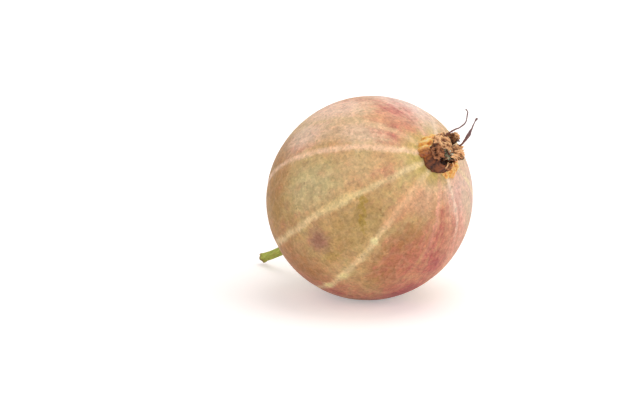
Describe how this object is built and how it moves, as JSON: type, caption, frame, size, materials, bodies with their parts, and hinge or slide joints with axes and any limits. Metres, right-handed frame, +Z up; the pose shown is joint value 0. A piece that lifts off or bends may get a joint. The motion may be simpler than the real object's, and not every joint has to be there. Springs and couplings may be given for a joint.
{
  "type": "gooseberry",
  "caption": "Ripe round gooseberry with pale meridian veins, a withered flower at one end and a short green stalk at the other, lying on a small flat spot.",
  "frame": {"origin": "middle of the small flat spot on the underside that the fruit rests on", "axes": "+Z up, +X level from the stalk end towards the flower end; the fruit's own axis is raised 33 degrees from level, flower end up"},
  "size_m": [0.027, 0.02, 0.0203],
  "materials": {
    "berry_skin": "taut fruit skin with a thin waxy bloom, satin",
    "green_stalk": "fresh green plant stem, finely ribbed, satin",
    "amber_ring": "dry amber membrane, slightly glossy",
    "withered_tube": "dried and furrowed plant tissue, matt",
    "withered_sepal": "crumpled dry sepal, matt",
    "withered_style": "dry pale fibres, matt",
    "withered_filament": "dry brown thread, matt"
  },
  "bodies": {
    "root": {"berry": "berry_skin", "stalk": "green_stalk", "calyx_collar": "amber_ring", "calyx_tube": "withered_tube", "sepal_1": "withered_sepal", "sepal_2": "withered_sepal", "sepal_3": "withered_sepal", "sepal_4": "withered_sepal", "sepal_5": "withered_sepal", "style": "withered_style", "stamen_1": "withered_filament", "stamen_2": "withered_filament", "stamen_3": "withered_filament", "stamen_4": "withered_filament", "stamen_5": "withered_filament"}
  },
  "joints": []
}
